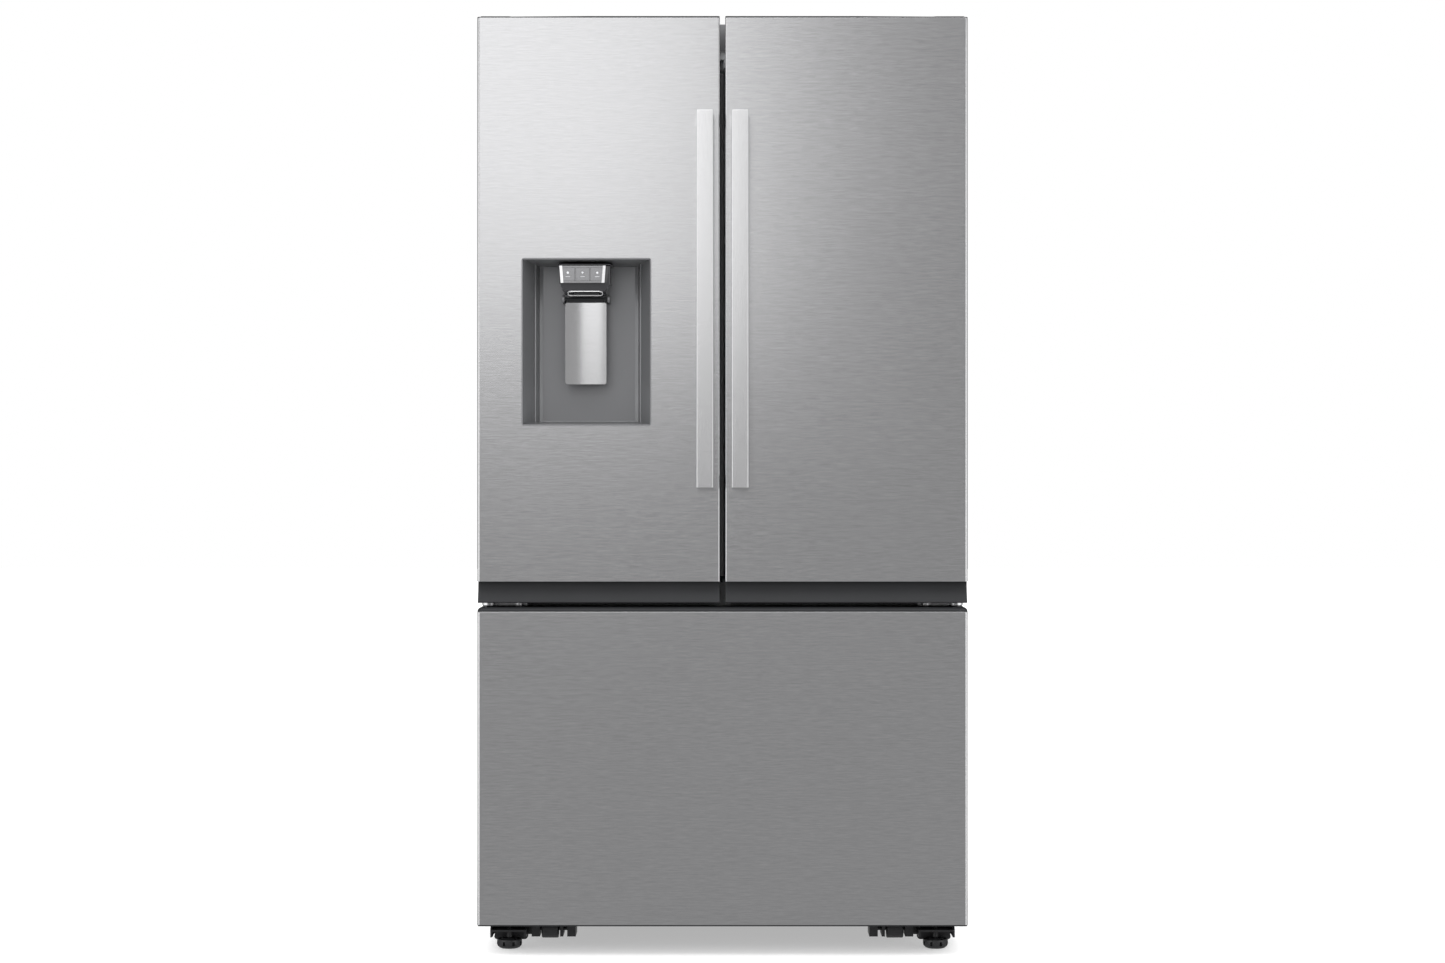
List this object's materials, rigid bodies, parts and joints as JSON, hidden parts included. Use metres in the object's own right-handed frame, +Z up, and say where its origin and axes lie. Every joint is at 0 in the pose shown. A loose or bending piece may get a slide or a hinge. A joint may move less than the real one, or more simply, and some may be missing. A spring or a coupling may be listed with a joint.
{
  "type": "french door refrigerator",
  "caption": "Free-standing refrigerator with a pair of side-hinged upper doors, a water and ice dispenser in the left door, and a pull-out freezer drawer below.",
  "frame": {"origin": "on the floor, under the middle of the object's box", "axes": "+Z up, -Y towards the front (the handles), +X to the right seen from the front"},
  "size_m": [0.908, 0.927, 1.772],
  "materials": {
    "door_steel": "satin",
    "handle_steel": "satin",
    "paddle_steel": "satin",
    "dark_plastic": "matte",
    "recess_plastic": "satin",
    "nozzle_plastic": "gloss",
    "control_satin": "satin",
    "cabinet_paint": "satin",
    "zinc_steel": "satin",
    "chassis_black": "satin",
    "foot_plastic": "satin",
    "foam": "matte",
    "liner_white": "satin",
    "clear_plastic": "gloss",
    "shelf_glass": "gloss",
    "gasket_grey": "matte",
    "fin_aluminium": "satin",
    "fan_plastic": "satin",
    "valve_brass": "satin"
  },
  "bodies": {
    "cabinet": {"cabinet_wrapper": "cabinet_paint", "cabinet_insulation": "foam", "fridge_liner": "liner_white", "freezer_liner": "liner_white", "back_panel": "zinc_steel", "cross_rail": "cabinet_paint", "base_frame": "chassis_black", "machine_cover": "zinc_steel", "water_valve": "valve_brass", "compressor": "chassis_black", "condenser": "chassis_black", "evaporator": "fin_aluminium", "evaporator_cover": "liner_white", "glass_shelves": "shelf_glass", "shelf_frames": "liner_white", "ice_maker": "liner_white", "door_hinges": "zinc_steel", "hinge_covers": "dark_plastic", "leg_brackets": "chassis_black", "mullion_guide": "liner_white", "freezer_rails": "zinc_steel"},
    "condenser_fan": {"condenser_fan": "fan_plastic"},
    "evaporator_fan": {"evaporator_fan": "fan_plastic"},
    "crisper_left": {"crisper_left": "clear_plastic"},
    "crisper_right": {"crisper_right": "clear_plastic"},
    "left_foot": {"left_foot": "foot_plastic"},
    "right_foot": {"right_foot": "foot_plastic"},
    "front_rollers": {"front_rollers": "foot_plastic"},
    "rear_rollers": {"rear_rollers": "foot_plastic"},
    "left_door": {"left_door_skin": "door_steel", "left_door_insulation": "foam", "left_door_liner": "liner_white", "left_door_caps": "dark_plastic", "left_door_gasket": "gasket_grey", "left_handle": "handle_steel", "left_door_bins": "clear_plastic", "dispenser_housing": "recess_plastic", "dispenser_panel": "control_satin", "dispenser_nozzle": "nozzle_plastic"},
    "paddle": {"dispenser_paddle": "paddle_steel"},
    "key_1": {"dispenser_key_1": "control_satin"},
    "key_2": {"dispenser_key_2": "control_satin"},
    "key_3": {"dispenser_key_3": "control_satin"},
    "mullion": {"mullion": "cabinet_paint"},
    "right_door": {"right_door_skin": "door_steel", "right_door_insulation": "foam", "right_door_liner": "liner_white", "right_door_caps": "dark_plastic", "right_door_gasket": "gasket_grey", "right_handle": "handle_steel", "right_door_bins": "clear_plastic"},
    "freezer_drawer": {"freezer_door_skin": "door_steel", "freezer_door_insulation": "foam", "freezer_door_liner": "liner_white", "freezer_door_caps": "dark_plastic", "freezer_door_gasket": "gasket_grey", "drawer_frame": "zinc_steel", "freezer_bin": "liner_white"},
    "freezer_basket": {"freezer_basket": "clear_plastic"},
    "rail_middles": {"rail_middles": "zinc_steel"}
  },
  "joints": [
    {"name": "left_door_hinge", "type": "hinge", "parent": "cabinet", "child": "left_door", "pos_m": [-0.44, -0.335, 1.2], "axis": [0, 0, -1], "range_deg": [0, 130]},
    {"name": "right_door_hinge", "type": "hinge", "parent": "cabinet", "child": "right_door", "pos_m": [0.44, -0.335, 1.2], "axis": [0, 0, 1], "range_deg": [0, 130]},
    {"name": "mullion_fold", "type": "hinge", "parent": "left_door", "child": "mullion", "pos_m": [-0.042, -0.293, 1.2], "axis": [0, 0, 1], "range_deg": [0, 90]},
    {"name": "freezer_slide", "type": "slide", "parent": "cabinet", "child": "freezer_drawer", "axis": [0, -1, 0], "range_m": [0, 0.43]},
    {"name": "rail_middle_slide", "type": "slide", "parent": "cabinet", "child": "rail_middles", "axis": [0, -1, 0], "range_m": [0, 0.215]},
    {"name": "basket_slide", "type": "slide", "parent": "freezer_drawer", "child": "freezer_basket", "axis": [0, 1, 0], "range_m": [0, 0.14]},
    {"name": "crisper_left_slide", "type": "slide", "parent": "cabinet", "child": "crisper_left", "axis": [0, -1, 0], "range_m": [0, 0.2]},
    {"name": "crisper_right_slide", "type": "slide", "parent": "cabinet", "child": "crisper_right", "axis": [0, -1, 0], "range_m": [0, 0.2]},
    {"name": "paddle_hinge", "type": "hinge", "parent": "left_door", "child": "paddle", "pos_m": [-0.2558, -0.335, 1.222], "axis": [1, 0, 0], "range_deg": [0, 9], "stiffness_Nm_per_rad": 1.2, "springref_deg": -5.73},
    {"name": "key_1_press", "type": "slide", "parent": "left_door", "child": "key_1", "axis": [0, 1, 0], "range_m": [0, 0.0008], "stiffness_N_per_m": 800, "springref_m": -0.0005},
    {"name": "key_2_press", "type": "slide", "parent": "left_door", "child": "key_2", "axis": [0, 1, 0], "range_m": [0, 0.0008], "stiffness_N_per_m": 800, "springref_m": -0.0005},
    {"name": "key_3_press", "type": "slide", "parent": "left_door", "child": "key_3", "axis": [0, 1, 0], "range_m": [0, 0.0008], "stiffness_N_per_m": 800, "springref_m": -0.0005},
    {"name": "left_foot_turn", "type": "hinge", "parent": "cabinet", "child": "left_foot", "pos_m": [-0.402, -0.296, 0.01], "axis": [0, 0, 1], "continuous": true},
    {"name": "right_foot_turn", "type": "hinge", "parent": "cabinet", "child": "right_foot", "pos_m": [0.402, -0.296, 0.01], "axis": [0, 0, 1], "continuous": true},
    {"name": "front_roller_spin", "type": "hinge", "parent": "cabinet", "child": "front_rollers", "pos_m": [0, -0.276, 0.034], "axis": [1, 0, 0], "continuous": true},
    {"name": "rear_roller_spin", "type": "hinge", "parent": "cabinet", "child": "rear_rollers", "pos_m": [0, 0.425, 0.02], "axis": [1, 0, 0], "continuous": true},
    {"name": "condenser_fan_spin", "type": "hinge", "parent": "cabinet", "child": "condenser_fan", "pos_m": [-0.01, 0.37, 0.14], "axis": [0, 1, 0], "continuous": true},
    {"name": "evaporator_fan_spin", "type": "hinge", "parent": "cabinet", "child": "evaporator_fan", "pos_m": [0, 0.186, 0.52], "axis": [0, 1, 0], "continuous": true}
  ],
  "couplings": [
    {"joint": "mullion_fold", "follows": "left_door_hinge", "ratio": 0.69231},
    {"joint": "crisper_left_slide", "follows": "left_door_hinge", "m_per_rad": 0.088},
    {"joint": "crisper_right_slide", "follows": "right_door_hinge", "m_per_rad": 0.088},
    {"joint": "rail_middle_slide", "follows": "freezer_slide", "ratio": 0.5}
  ]
}
